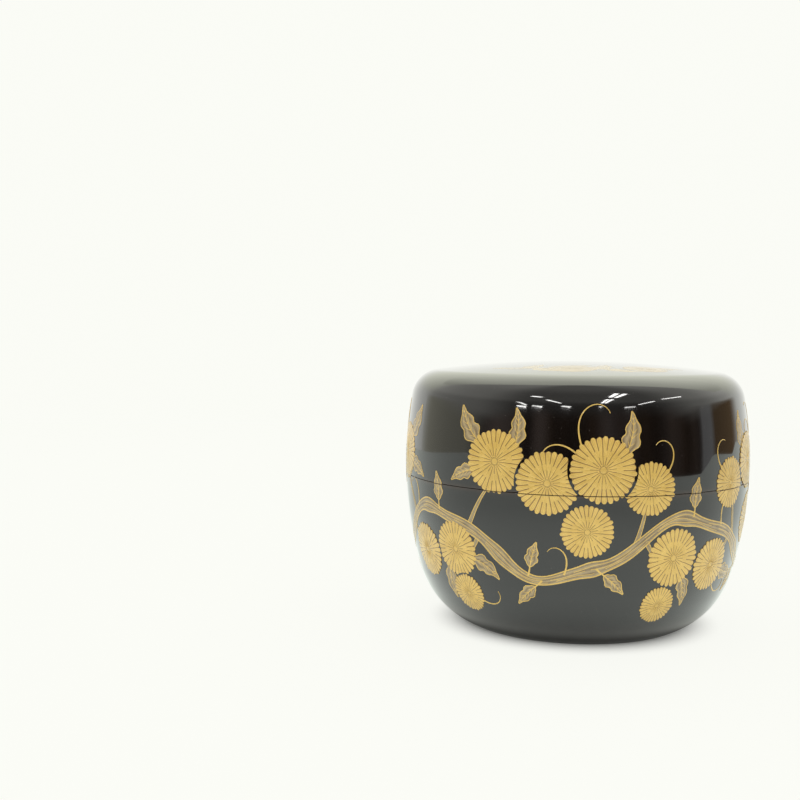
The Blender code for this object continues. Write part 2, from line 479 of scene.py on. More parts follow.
vine = dict(
    waves=4, front=-9 * mm, middle=-12.2 * mm, swing=7.2 * mm, ripple=0.9 * mm,
    ripples=((3, 1, 0.6), (0.75, 0.9, 1), (1.25, 0.7, 0)),   # per wave, share, start
    halfWidth=1.30 * mm, narrow=0.86, swell=0.12, swellLengths=(2.9 * mm, 7.1 * mm),
    knots=3, knotStart=0.5, knotSize=0.42, knotSharpness=14,
    grain=0.08 * mm, grainLines=(-0.48, -0.05, 0.42), grainWander=0.10,
    grainRate=0.37, grainShift=9, grainSteps=(10, 30), grainGap=(2, 6), grainLeast=12,
    shoot=0.52 * mm, shootEnd=0.35, stalk=0.24 * mm, stalkEnd=0.6, tendril=0.20 * mm,
    outline=0.14 * mm, shootOutline=0.6, tip=0.06 * mm, step=0.6 * mm, root=0.80,
    curlLength=7.5 * mm, curlBends=(1.5, 6), seed=41,
    scatter=0.7, sizeSpread=0.06, lengthSpread=0.1, turnSpread=0.1, leafTurnSpread=0.14,
)
leaf = dict(
    bendGrowth=1.6, fullest=0.70, outline=0.72, rib=0.9, backBend=0.3,
    lobes=3, lobeDepth=0.30, lobeCrowd=0.9, lobeSharpness=3,
    veins=(0.20, 0.36, 0.52, 0.68, 0.82), veinLean=0.70, veinLength=0.95, veinBends=(0.05, 0.2),
)
pitch = roundLength / vine["waves"]
draw = random.Random(vine["seed"])
fills = []    # (points, half widths) of broad sprinkled shapes
lines = []    # the same, for bright drawn lines
flowers = []  # (x, y, radius, turn, layer)


def vary(most):
    return draw.uniform(-most, most)


def widths(count, thick, thin):
    return [blend(thick, thin, step / (count - 1)) for step in range(count)]


def addLine(points, thick, thin=None):
    # a drawn line whose half width goes from thick to thin
    halves = widths(len(points), thick, thick if thin is None else thin)
    lines.append((points, [max(half, vine["tip"] / 2) for half in halves]))


def curl(start, heading, length, bendStart, bendEnd):
    # a line from start whose turning, in radians per mm, changes steadily on its way
    steps = max(4, ceil(length / vine["step"]))
    size = length / steps
    points = [start]
    for step in range(steps):
        heading += blend(bendStart, bendEnd, step / steps) * size / mm
        points.append(onCircle(points[-1], size, heading))
    return points


def beside(points, offsets):
    # the line that runs beside points; offsets: distance to the left for each point
    result = []
    for step, point in enumerate(points):
        turn = away(points[max(step - 1, 0)], points[min(step + 1, len(points) - 1)]) + quarter
        result.append(onCircle(point, offsets[step], turn))
    return result


def bothSides(points, halves):
    return [beside(points, [side * half for half in halves]) for side in (1, -1)]


def addLeaf(start, heading, length, width, bend):
    # lobed: sprinkled fill, bright outline, midrib and side veins
    rib = curl(start, heading, length, bend, bend * leaf["bendGrowth"])
    last = len(rib) - 1
    halves = []
    for step in range(last + 1):
        share = step / last
        lobe = abs(sin(leaf["lobes"] * pi * share ** leaf["lobeCrowd"])) ** leaf["lobeSharpness"]
        lobes = 1 - leaf["lobeDepth"] * lobe
        halves.append(max(width / 2 * sin(pi * share ** leaf["fullest"]) * lobes, vine["tip"]))
    fills.append((rib, halves))
    for side, edge in zip((1, -1), bothSides(rib, halves)):
        addLine(edge, vine["outline"] * leaf["outline"])
        for share in leaf["veins"]:
            step = max(round(share * last), 1)
            turn = away(rib[step - 1], rib[step]) + side * leaf["veinLean"]
            bends = [-side * turning for turning in leaf["veinBends"]]
            addLine(curl(rib[step], turn, halves[step] * leaf["veinLength"], *bends),
                    vine["grain"], vine["tip"] / 2)
    addLine(rib, vine["outline"] * leaf["rib"], vine["tip"] / 2)


def stemHeight(x):
    phase = tau * (x - vine["front"]) / pitch
    drift = sum(share * sin(rate * phase + start) for rate, share, start in vine["ripples"])
    return vine["middle"] - vine["swing"] * cos(phase) + vine["ripple"] * drift


def stemHalf(x):
    knot = abs(sin(pi * vine["knots"] * (x - vine["front"]) / pitch + vine["knotStart"]))
    first, second = vine["swellLengths"]
    swell = vine["swell"] * sin(x / first) * sin(x / second)
    return vine["halfWidth"] * (vine["narrow"] + swell + vine["knotSize"] * knot ** vine["knotSharpness"])


def onStem(point):
    x, y = point
    slope = (stemHeight(x + vine["step"]) - stemHeight(x)) / vine["step"]
    return abs(y - stemHeight(x)) < stemHalf(x) * hypot(1, slope)


def offStem(points):
    # where the part of points begins that has left the main stem, just inside its edge
    step = 0
    while step < len(points) - 4 and onStem(points[step]):
        step += 1
    return max(step - 1, 0)


def addShoot(start, heading, length, bendStart, bendEnd):
    # sprinkled between two drawn lines that begin where it leaves the stem
    points = curl(start, heading, length, bendStart, bendEnd)
    halves = widths(len(points), vine["shoot"], vine["shoot"] * vine["shootEnd"])
    fills.append((points[offStem(points):], halves[offStem(points):]))
    for edge in bothSides(points, halves):
        addLine(edge[offStem(edge):], vine["outline"] * vine["shootOutline"])


def addStalk(start, heading, length, bend):
    # a thin drawn stalk that leaves the stem; gives back its end and the way it points there
    points = curl(start, heading, length, bend, bend)
    addLine(points[offStem(points):], vine["stalk"], vine["stalk"] * vine["stalkEnd"])
    return points[-1], away(points[-2], points[-1])


def addTendril(start, heading, length, bendStart, bendEnd):
    addLine(curl(start, heading, length, bendStart, bendEnd), vine["tendril"], vine["tip"])


# the main stem goes once round, between two drawn lines, with knots and grain that comes and goes
steps = round(roundLength / vine["step"])
xs = [-roundLength / 2 + roundLength * step / steps for step in range(steps + 1)]
points = [(x, stemHeight(x)) for x in xs]
halves = [stemHalf(x) for x in xs]
halves[-1] = halves[0]
fills.append((points, halves))
for edge in bothSides(points, halves):
    addLine(edge, vine["outline"])
for share in vine["grainLines"]:
    start = 0
    while start < steps - vine["grainLeast"]:
        end = min(start + draw.randint(*vine["grainSteps"]), steps)
        offsets = []
        for step in range(start, end + 1):
            wander = vine["grainWander"] * sin(step * vine["grainRate"] + share * vine["grainShift"])
            offsets.append(halves[step] * (share + wander))
        addLine(beside(points[start:end + 1], offsets), vine["grain"], vine["tip"])
        start = end + draw.randint(*vine["grainGap"])


def addBay(x, flip, blossoms, leaves, tendrils, shoots, stalks):
    # one bay of the stem, in mm from its middle, left and right changed over where flip is -1.
    # Shoots and stalks start on the stem, leaves and tendrils under the flower whose number they give.
    middle = x + vary(vine["scatter"]) * mm
    spots = []

    def aside(across):
        return middle + flip * across * mm

    def facing(heading, most=0.0):
        heading += vary(most)
        return heading if flip > 0 else pi - heading

    def fromStem(across):
        return (aside(across), stemHeight(aside(across)))

    def under(number, side):
        x, y, radius = spots[number]
        return onCircle((x, y), radius * vine["root"], facing(side))

    for across, up, radius, layer in blossoms:
        spots.append((aside(across + vary(vine["scatter"])), (up + vary(vine["scatter"])) * mm,
                      radius * (1 + vary(vine["sizeSpread"])) * mm))
        flowers.append((*spots[-1], draw.random(), layer))
    for number, side, heading, length, width, bend in draw.sample(leaves, len(leaves) - 1):
        grow = (1 + vary(vine["lengthSpread"])) * mm
        addLeaf(under(number, side), facing(heading, vine["leafTurnSpread"]), length * grow, width * grow,
                flip * bend)
    for number, side, heading, length, bendStart, bendEnd in draw.sample(tendrils, len(tendrils) - 1):
        addTendril(under(number, side), facing(heading, vine["turnSpread"]),
                   length * (1 + vary(vine["lengthSpread"])) * mm, flip * bendStart, flip * bendEnd)
    for across, heading, length, bendStart, bendEnd in shoots:
        addShoot(fromStem(across), facing(heading), length * mm, flip * bendStart, flip * bendEnd)
    for across, heading, length, bend, leafLength, leafWidth in stalks:
        end, turn = addStalk(fromStem(across), facing(heading, vine["turnSpread"]), length * mm, flip * bend)
        if leafLength:
            addLeaf(end, turn, leafLength * mm, leafWidth * mm, -flip * bend * leaf["backBend"])
        else:
            addTendril(end, turn, vine["curlLength"], *[flip * bend * growth for growth in vine["curlBends"]])


# blossoms: across, up, radius, layer; leaves: flower, side of it, heading, length, width, bend;
# tendrils: flower, side, heading, length, two bends; shoots: across, heading, length, two bends;
# stalks: across, heading, length, bend, length and width of the leaf, or 0 and 0 for a curl
upperBay = dict(
    blossoms=[(-14.2, 6.4, 6.9, 0), (-2.4, 2.2, 7.3, 1), (9.4, 5.2, 7.0, 2), (6.4, -8.0, 6.2, 0),
              (20.4, 1.0, 5.6, 1)],
    leaves=[(0, 2.38, 2.35, 9.0, 4.5, -0.05), (0, 0.66, 1.35, 9.0, 4.2, 0.06),
            (2, 0.62, 0.95, 9.6, 4.4, 0.06), (1, -2.40, -2.15, 8.8, 4.1, 0.07),
            (0, -2.75, 3.35, 7.6, 3.7, 0.06)],
    tendrils=[(2, 2.40, 1.95, 14.5, 0.00, -0.40), (2, 2.50, 1.62, 11.0, -0.02, -0.56),
              (2, 2.62, 2.35, 11.5, 0.03, 0.50), (4, 0.70, 0.85, 10.0, 0.03, 0.56)],
    shoots=[(-21.5, 1.05, 11.5, 0.02, -0.06), (16.6, 1.25, 11.5, 0.01, 0.03)],
    stalks=[(1.2, 1.05, 2.6, 0.10, 0, 0), (-7.0, 1.15, 2.6, 0.10, 6.0, 3.2),
            (-3.6, -2.2, 2.2, -0.10, 6.4, 3.3), (8.5, -0.9, 2.4, 0.10, 6.6, 3.4)],
)
lowerBay = dict(
    blossoms=[(-5.6, -14.2, 6.4, 0), (6.2, -17.0, 6.2, 1), (-8.4, -24.8, 4.8, 1)],
    leaves=[(0, -2.85, -2.85, 8.2, 4.1, 0.07), (0, -0.98, -1.20, 8.4, 4.1, -0.05),
            (1, -0.30, -0.55, 8.8, 4.2, 0.06)],
    tendrils=[(1, -1.10, -1.05, 10.5, 0.03, 0.56), (2, -2.90, -2.75, 9.0, -0.04, -0.60)],
    shoots=[(-13.5, -1.05, 7.0, 0.00, 0.10), (13.0, -2.20, 6.0, 0.02, -0.10)],
    stalks=[(-1.6, 1.25, 2.6, 0.12, 6.6, 3.4), (8.8, 2.0, 3.4, -0.10, 0, 0)],
)
for wave in range(vine["waves"]):
    flip = 1 if wave % 2 else -1
    addBay(vine["front"] + (wave - 1) * pitch, flip, **upperBay)
    addBay(vine["front"] + (wave - 0.5) * pitch, -flip if wave > 1 else flip, **lowerBay)
sideDrawing = (fills, lines, flowers)

# a small spray along the front of the lid's top, laid out from the crown. Everything starts on its twig:
# blossoms: share of the twig, distance to its left, radius; leaves: share, turn away from it, length, width,
# bend; tendrils: share, turn away from it, length, two bends
spray = dict(
    start=(-21.5 * mm, -16.5 * mm), heading=-0.50, length=37 * mm, bends=(0.006, 0.050),
    halfWidths=(0.728 * mm, 0.26 * mm), rootShares=(0.45, 0.2),
    blossoms=[(0.50, 0.4, 5.8), (0.96, 0.2, 5.2)],
    leaves=[(0.20, 0.95, 8.2, 4.1, 0.06), (0.27, -0.85, 7.2, 3.8, 0.06), (0.40, 1.15, 10.5, 4.1, -0.05),
            (0.64, 0.90, 9.6, 4.0, 0.05), (0.70, -0.75, 8.4, 3.9, 0.07), (0.96, 0.35, 10.6, 4.0, -0.06)],
    tendrils=[(0.08, -0.9, 8.5, 0.03, 0.62), (0.56, 1.3, 12.0, -0.03, -0.50),
              (0.98, -0.7, 10.5, 0.03, 0.56)],
)
fills, lines, flowers = [], [], []
twig = curl(spray["start"], spray["heading"], spray["length"], *spray["bends"])
first, growth = spray["rootShares"]   # the twig's first steps are thinner
halves = [half * min(first + growth * step, 1)
          for step, half in enumerate(widths(len(twig), *spray["halfWidths"]))]
fills.append((twig, halves))
for edge in bothSides(twig, halves):
    addLine(edge, vine["outline"] * vine["shootOutline"])


def onTwig(share):
    # a point of the twig and the way the twig goes there
    step = max(round(share * (len(twig) - 1)), 1)
    return twig[step], away(twig[step - 1], twig[step])


for share, aside, radius in spray["blossoms"]:
    point, turn = onTwig(share)
    flowers.append((*onCircle(point, aside * mm, turn + quarter), radius * mm, draw.random(), 0))
for share, lean, length, width, bend in spray["leaves"]:
    point, turn = onTwig(share)
    addLeaf(point, turn + lean, length * mm, width * mm, bend)
for share, lean, length, *bends in spray["tendrils"]:
    point, turn = onTwig(share)
    addTendril(point, turn + lean, length * mm, *bends)
crownDrawing = (fills, lines, flowers)
print("decoration laid out:", len(sideDrawing[1]) + len(crownDrawing[1]), "lines,",
      len(sideDrawing[2]) + len(crownDrawing[2]), "flowers")


# The decoration's shapes. A flower is made with radius 1, and its ground is a disc of its own.

flower = dict(
    # petals: count, where they start and end, share of the ring they fill, height
    petals=(31, 0.40, 1.0, 0.83, 0.0), innerPetals=(21, 0.10, 0.60, 0.84, 0.0036),
    petalCrown=0.0048, petalSteps=(5, 7), lengthSpread=0.050, seed=7,
    petalShape=[(0.0, 0.62), (0.3, 0.90), (0.75, 1.0), (0.90, 0.90), (0.97, 0.62), (1.0, 0.20)],
    # boss and dots: faces round, faces inwards, radius, rise, height
    boss=(16, 4, 0.095, 0.008, 0.0036), dot=(6, 2, 0.022, 0.009, 0.0),
    dots=13, dotRing=0.150, dotHeight=0.00744, groundSteps=(124, 6),
)

# a flat ribbon along each strand, as wide as the strand says, a little crowned
strand, steps, crown = newTree("drawn line", Steps="Int", Crown="Float")
line = node("GeometryNodeMeshLine", "Count", "Start Location", "Offset")
section = line(steps, (-1, 0, 0), joinXyz(2.0 / (steps - 1.0), 0.0, 0.0))
section = storeValue(section, "across", splitXyz(position(strand))[0])
ribbon = sweep(upright(toCurve(strand)), toCurve(section), readValue("halfWidth", strand))
across = readValue("across", strand)
drawnLine = endTree(moveBy(ribbon, joinXyz(0.0, 0.0, crown * (1.0 - across * across))))


def petalRing(spots, count, inner, outer, fill, lift, seed):
    # one petal of a few dozen faces, set round the middle with a small spread in length
    x, y, z = splitXyz(position(spots))
    # rows crowd towards the tip, which is round
    rest = 0.5 - y
    share = 1.0 - rest * rest
    reach = inner + share * (outer - inner)
    tip = shapeCurve(share, flower["petalShape"])
    aside = reach * (pi * fill / count) * x * tip
    rise = (1.0 - x * x) * flower["petalCrown"] * tip + lift
    petal = storeValue(grid(2.0, 1.0, *flower["petalSteps"], x), "across", x)
    petal = moveTo(petal, joinXyz(reach, aside, rise))
    turn = node("GeometryNodeInputIndex")(x) * tau / count
    anyLength = node("FunctionNodeRandomValue", 2, 3, "Seed", output=1, data_type="FLOAT")
    length = anyLength(1 - flower["lengthSpread"], 1.0, seed)
    middle = node("GeometryNodePoints", "Count")(count, x)
    return realize(spread(middle, petal, turn, length, 1.0, 1.0))


def domeDisc(spots, around, inwards, radius, rise, lift, scallops=None, scallopDepth=0.0):
    # a round disc of small faces, domed by rise, its edge scalloped where asked
    x, y, z = splitXyz(position(spots))
    turn = x * -tau
    share = y + 0.5
    reach = share * radius
    if scallops:
        reach *= calc("COSINE", turn * scallops) * scallopDepth * share + 1.0
    height = calc("SQRT", 1.0 - share * share) * rise + lift
    disc = storeValue(grid(1.0, 1.0, around + 1, inwards + 1, x), "across", share * 2.0 - 1.0)
    return moveTo(disc, joinXyz(reach * calc("COSINE", turn), reach * calc("SINE", turn), height))


def endFlowers(spots, blossom):
    # every spot says how large and how far turned its own blossom is
    points = node("GeometryNodeMeshToPoints", 0)(spots)
    size = readValue("size", spots)
    return endTree(spread(points, blossom, readValue("turn", spots), size, size, size))


spots, seed = newTree("blossom", Seed="Int")
circle = node("GeometryNodeMeshCircle", "Vertices", "Radius")(flower["dots"], flower["dotRing"], spots)
raised = node("GeometryNodeTransform", 0, "Translation")(circle, (0, 0, flower["dotHeight"]))
joined = spots.tree.nodes.new("GeometryNodeJoinGeometry")
for part in (petalRing(spots, *flower["petals"], seed),
             petalRing(spots, *flower["innerPetals"], seed + 1.0),
             domeDisc(spots, *flower["boss"]), instances(raised, domeDisc(spots, *flower["dot"]))):
    plug(joined.inputs[0], part)
blossom = endFlowers(spots, Value(joined.outputs[0]))

spots, grow, scallop = newTree("flower ground", Grow="Float", Scallop="Float")
disc = domeDisc(spots, *flower["groundSteps"], grow, 0.0, 0.0, flower["petals"][0], scallop)
ground = endFlowers(spots, disc)

# wrapping lays flat work onto the outside of the caddy, from the seam or, for the lid's top, from the crown
flat, outline, seam, crown, radius, onTop = newTree(
    "wrap", Outline="Object", Seam="Float", Crown="Float", Radius="Float", Top="Bool")
x, y, z = splitXyz(position(flat))
turn = choose(onTop, x / radius, calc("ARCTAN2", x, y * -1.0))
along = choose(onTop, y + seam, crown - calc("SQRT", x * x + y * y))
sample = node("GeometryNodeSampleCurve", "Curves", "Length", output="Position", mode="LENGTH")
place = sample(toCurve(node("GeometryNodeObjectInfo", 0, output="Geometry")(outline)), along)
onX, onY, onZ = splitXyz(place)
slopeX, slopeY, slopeZ = splitXyz(place.output("Tangent"))
# outwards is the slope turned by a right angle
reach = onX + z * slopeZ
wrapped = joinXyz(reach * calc("SINE", turn), reach * -1.0 * calc("COSINE", turn), onZ - z * slopeX)
wrapping = endTree(moveTo(flat, wrapped))
outlineObject = strandMesh([[(radius, 0, height) for radius, height in outer]])


# The decoration's pieces

relief = dict(
    fillLift=0.016 * mm, fillCrown=0.018 * mm, fillSteps=7,
    lineLift=0.034 * mm, lineCrown=0.022 * mm, lineSteps=5,
    gapLift=0.044 * mm, gapReach=0.990, gapHalf=0.048,
    groundLift=0.052 * mm, groundGrow=0.945, groundScallop=0.018, petalLift=0.056 * mm,
    layerStep=0.050 * mm, depth=0.12 * mm, flowerDepth=0.35 * mm,
    seamCut=0.10 * mm, topShare=0.12, crease=0.8,
)


def tidyFlat(mesh, side):
    # welds it, turns its faces up and keeps what lies on one side of the seam
    bm = bmesh.new()
    bm.from_mesh(mesh)
    bmesh.ops.remove_doubles(bm, verts=bm.verts[:], dist=weld)
    if side == 0:
        # the top is seen nearly edge on, so its gold lies almost flush
        for vert in bm.verts:
            vert.co.z *= relief["topShare"]
    else:
        whole = bm.verts[:] + bm.edges[:] + bm.faces[:]
        bmesh.ops.bisect_plane(bm, geom=whole, dist=weld, plane_co=(0, side * relief["seamCut"], 0),
                               plane_no=(0, side, 0), clear_inner=True)
    bm.normal_update()
    for face in bm.faces:
        if face.normal.z < 0:
            face.normal_flip()
    bm.to_mesh(mesh)
    bm.free()


def wrapPiece(name, flat, side, material, thickness):
    # one piece of decoration on one body, as a closed layer
    piece = addObject(name, flat.data.copy())
    tidyFlat(piece.data, side)
    piece = runTree(name, piece, wrapping, Outline=outlineObject, Seam=seamAlong, Crown=lengths[-1],
                    Radius=girthRadius, Top=side == 0, Material=material)
    layer = piece.modifiers.new("layer", "SOLIDIFY")
    layer.thickness = thickness
    layer.offset = -1
    flatLayer = piece.data
    piece.data = finishedMesh(piece)
    piece.modifiers.clear()
    bpy.data.meshes.remove(flatLayer)
    smoothFaces(piece, relief["crease"])
    bodyName = "body" if side < 0 else "lid"
    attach(piece, bodyName)
    return piece


def strokeSource(strokes, lift):
    strands = [[(*point, lift) for point in points] for points, halves in strokes]
    return strandMesh(strands, halfWidth=[half for points, halves in strokes for half in halves])


def gapSource(spots, lift):
    # a dark band along each flower's edge, wherever it lies over a lower one
    strands = []
    halves = []
    for x, y, size, turn, layer in spots:
        reach = size * relief["gapReach"]
        for lowX, lowY, lowSize, lowTurn, lowLayer in spots:
            aside = (lowX - x + roundLength / 2) % roundLength - roundLength / 2
            apart = hypot(aside, lowY - y)
            if lowLayer < layer and apart < reach + lowSize:
                half = acos((apart ** 2 + reach ** 2 - lowSize ** 2) / (2 * apart * reach))
                middle = atan2(lowY - y, aside)
                band = arcPoints((x, y), reach, middle - half, middle + half)
                strands.append([(*point, lift + layer * relief["layerStep"]) for point in band])
                halves += [size * relief["gapHalf"]] * len(band)
    return strandMesh(strands, halfWidth=halves)


def flowerSource(spots, lift):
    points = [[(x, y, lift + layer * relief["layerStep"])] for x, y, size, turn, layer in spots]
    sizes = [size for x, y, size, turn, layer in spots]
    turns = [turn * tau for x, y, size, turn, layer in spots]
    return strandMesh(points, size=sizes, turn=turns)


def makeDecoration(prefix, drawing, gold, sides):
    # sides: the piece's name after the prefix, and -1 under the seam, 1 over it, 0 on the lid's top
    broad, drawn, spots = drawing
    depth = relief["depth"]
    parts = [
        ("vine", strokeSource(broad, relief["fillLift"]), drawnLine,
         {"Steps": relief["fillSteps"], "Crown": relief["fillCrown"]}, sprinkledGold, depth),
        ("lines", strokeSource(drawn, relief["lineLift"]), drawnLine,
         {"Steps": relief["lineSteps"], "Crown": relief["lineCrown"]}, gold, depth),
        ("flower_gaps", gapSource(spots, relief["gapLift"]), drawnLine,
         {"Steps": relief["lineSteps"], "Crown": 0.0}, lacquer, relief["flowerDepth"]),
        ("flower_bases", flowerSource(spots, relief["groundLift"]), ground,
         {"Grow": relief["groundGrow"], "Scallop": relief["groundScallop"]}, deepGold, relief["flowerDepth"]),
        ("petals", flowerSource(spots, relief["petalLift"]), blossom, {"Seed": flower["seed"]}, gold, depth),
    ]
    for part, source, tree, values, material, thickness in parts:
        if not source.data.vertices:
            drop(source)
            continue
        flat = runTree("flat", source, tree, **values, Material=material)
        for place, side in sides:
            piece = wrapPiece(prefix + place + part, flat, side, material, thickness)
            print(piece.name, "made:", len(piece.data.polygons), "faces")
        drop(flat)


makeDecoration("", sideDrawing, brightGold, (("body_", -1), ("lid_", 1)))
# the lid's top gets the gold painted darker, as shade, than the sides' gold
makeDecoration("lid_top_", crownDrawing, dimmedTopGold, (("", 0),))
drop(outlineObject)


# Camera, at the photograph's angle
shot = dict(lens=51.94, sensor=36, place=(-42.71 * mm, -280.96 * mm, 70.3 * mm), pitch=3.531, roll=0.432)
cameraData = bpy.data.cameras.new("camera")
cameraData.lens = shot["lens"]
cameraData.sensor_width = shot["sensor"]
cameraData.clip_start = 10 * mm
camera = bpy.data.objects.new("camera", cameraData)
camera.matrix_world = (Matrix.Translation(shot["place"])
                       @ Matrix.Rotation(radians(90 - shot["pitch"]), 4, "X")
                       @ Matrix.Rotation(radians(shot["roll"]), 4, "Z"))
bpy.context.scene.collection.objects.link(camera)
bpy.context.scene.camera = camera


# Stage: pale floor, white background, two soft lamps, and a dim room that only the gloss shows

white = (0.962, 0.970, 0.918)


def plainView(near):
    # 1 for what the camera sees, straight or in a reflection or through a clear part, and 0 for light
    ray = node("ShaderNodeLightPath", output="Is Camera Ray")(near)
    mirrored = calc("MAXIMUM", ray.output("Is Glossy Ray"), ray.output("Is Transmission Ray"))
    return calc("MAXIMUM", ray, mirrored)


def glowMaterial(name, strength, colour=None):
    # one colour, or else the mesh's own
    material, shader = newMaterial(name)
    setSurface(material, emission(colour or surfaceValue(shader, "glow", "Color"), strength, shader))
    shader.tree.nodes.remove(shader.socket.node)
    return material


glossOnly = ("camera", "diffuse", "shadow", "transmission")


def addSheet(name, points, faces, material, hidden=glossOnly):
    # hidden: the kinds of ray that don't see it; most sheets are seen in reflections and nowhere else
    mesh = bpy.data.meshes.new(name)
    mesh.from_pydata(points, [], faces)
    mesh.materials.append(material)
    piece = addObject(name, mesh)
    for rays in hidden:
        setattr(piece, "visible_" + rays, False)
    return piece


# painted shadow: the share of its colour that is left next to the foot; halo: its added glow, a painted ring
# of light round the caddy;
# glow: how far it shows as plain white away from the foot, so that the floor stays pale and the shadow soft
floorFinish = dict(
    colour=(0.90, 0.90, 0.885), shadeRange=0.985, shadeScale=8.0, roughness=0.75,
    paintedShadowReach=(27.2 * mm, 31.5 * mm), haloRise=(36 * mm, 50 * mm), haloFall=(80 * mm, 160 * mm),
)
floors = {
    "floor": dict(
        outline=[(-1.1, -0.565), (1.1, -0.565), (1.1, 0.565), (-1.1, 0.565)], level=0.0, hidden=["glossy"],
        tint=white, paintedShadowLeft=1.0, halo=0.0, glow=0.94, glowReach=(23.0 * mm, 36.2 * mm)),
    # only in the gloss, which sees where the floor ends: its front and the step in its right side. Lying
    # under the floor it gets no lamp light, so its dark next to the foot is painted shadow and its halo a
    # painted ring of light
    "floor_gloss": dict(
        outline=[
            (-0.63, -0.43), (0.27, -0.27), (0.38, -0.10), (0.90, -0.03), (0.98, 0.03), (0.81, 0.155),
            (0.65, 0.245), (1.1, 0.565), (-0.15, 0.565), (-0.61, 0.25), (-0.88, 0.09), (-1.24, -0.17)],
        level=-0.02 * mm, hidden=glossOnly,
        tint=(0.915, 0.975, 0.905), paintedShadowLeft=0.25, halo=0.27, glow=0.76, glowReach=(27.5 * mm, 41.0 * mm)),
}


def floorMaterial(name, look):
    material, shader = newMaterial(name)
    place = surfacePlace(shader)
    reach = node("ShaderNodeVectorMath", 0, output="Value", operation="LENGTH")(place)

    def fade(limits, low, high):
        return stretch(reach, low, high, *limits, "SMOOTHSTEP")

    colour = floorFinish["colour"]
    shaded = [level * floorFinish["shadeRange"] for level in colour]
    coloured = mixColour(noise(place, floorFinish["shadeScale"], 3.0, 9.0), shaded, colour)
    # painted shadow: the colour darkens towards black next to the foot
    coloured = mixColour(fade(floorFinish["paintedShadowReach"], look["paintedShadowLeft"], 1.0), (0, 0, 0), coloured)
    setShader(shader, Base_Color=coloured, Roughness=floorFinish["roughness"])
    # painted light and shadow: a ring of extra glow round the caddy and, on the gloss floor, which no lamp
    # reaches, the white fading out towards the foot
    halo = fade(floorFinish["haloRise"], 0.0, look["halo"]) * fade(floorFinish["haloFall"], 1.0, 0.0)
    share = plainView(shader) * fade(look["glowReach"], 0.0, look["glow"])
    setSurface(material, mixShader(share, shader, emission(look["tint"], halo + 1.0)))
    return material


for name, look in floors.items():
    corners = [(x, y, look["level"]) for x, y in look["outline"]]
    addSheet(name, corners, [range(len(corners))], floorMaterial(name, look), look["hidden"])


def smooth(value, low, high):
    # 0 at low and 1 at high, which may be the smaller one
    share = min(max((value - low) / (high - low), 0), 1)
    return share * share * (3 - 2 * share)


def addGlowSheet(name, columns, rows, spot):
    # a sheet of small faces; spot gives each corner's place and glow
    wide = columns + 1
    spots = [spot(column, row) for row in range(rows + 1) for column in range(wide)]
    faces = [(first, first + 1, first + wide + 1, first + wide)
             for row in range(rows) for first in range(row * wide, row * wide + columns)]
    sheet = addSheet(name, [point for point, glow in spots], faces, glowMaterial(name + " glow", 1.0))
    shades = sheet.data.color_attributes.new("glow", "FLOAT_COLOR", "POINT")
    shades.data.foreach_set("color", [part for point, glow in spots for part in (*glow, 1)])


# azimuths in degrees from the front, to the right; elevations in degrees
room = dict(
    radius=9.0, step=2,
    dark=(0.080, 0.046, 0.024), darkRange=(0.25, 0.95), pale=(1.14, 0.96, 0.90),
    # paler shapes in the dark: azimuth, how far they reach to both sides, glow
    glimpses=[(-60, 24, 0.19), (-31, 9, 0.16), (13, 11, 0.15), (26, 9, 0.09), (57, 13, 0.075), (76, 9, 0.05)],
    # walls, one over another: colour, the azimuths where it starts and is full
    walls=[((0.56, 0.5488, 0.448), -67, -86), ((0.46, 0.46, 0.46), 79, 82),
           ((0.22, 0.1452, 0.0792), 90, 94)],
    # ceiling: tint, glow, and what is added to that on the way from one angle to another
    ceilingTint=(1.0, 0.992, 0.92), ceiling=0.13,
    ceilingGrowth=[("elevation", 14, 26, 0.25), ("elevation", 45, 75, 0.26), ("side", 40, 82, 0.58),
                   ("azimuth", 82, 108, 0.22)],
    ceilingStart=(13.5, 9.0), ceilingStartSides=(30, 80), ceilingEdge=(-2.5, 1.5),
    # behind the caddy: where it starts on both sides, its glow, and where that and its tint change
    behindStarts=[(114, 128), (-122, -138)], behind=(1.0, 1.95), behindRise=(12, 55),
    behindTint=(0.97, 0.985, 0.84), tintRise=(6, 24),
)


def roomLight(azimuth, elevation):
    # what the gloss sees round about; shapes: a made-up pattern of light and dark
    side = abs(azimuth)
    shapes = 0.5 + 0.28 * sin(azimuth * 0.21 + 1) + 0.22 * sin(azimuth * 0.53) * cos(azimuth * 0.17)
    glimpse = sum(glow * smooth(reach - abs(azimuth - middle), 0, reach)
                  for middle, reach, glow in room["glimpses"])
    colour = Vector(room["dark"]) * blend(*room["darkRange"], shapes) + Vector(room["pale"]) * glimpse
    for wall, start, full in room["walls"]:
        colour = blend(colour, Vector(wall), smooth(azimuth, start, full))
    angles = {"azimuth": azimuth, "side": side, "elevation": elevation}
    ceiling = room["ceiling"] + sum(glow * smooth(angles[angle], low, high)
                                    for angle, low, high, glow in room["ceilingGrowth"])
    start = blend(*room["ceilingStart"], smooth(side, *room["ceilingStartSides"]))
    above = smooth(elevation, *[start + part for part in room["ceilingEdge"]])
    colour = blend(colour, Vector(room["ceilingTint"]) * ceiling, above)
    behind = blend(Vector(white), Vector(room["behindTint"]), smooth(elevation, *room["tintRise"]))
    behind *= blend(*room["behind"], smooth(elevation, *room["behindRise"]))
    return blend(colour, behind, sum(smooth(azimuth, *limits) for limits in room["behindStarts"]))


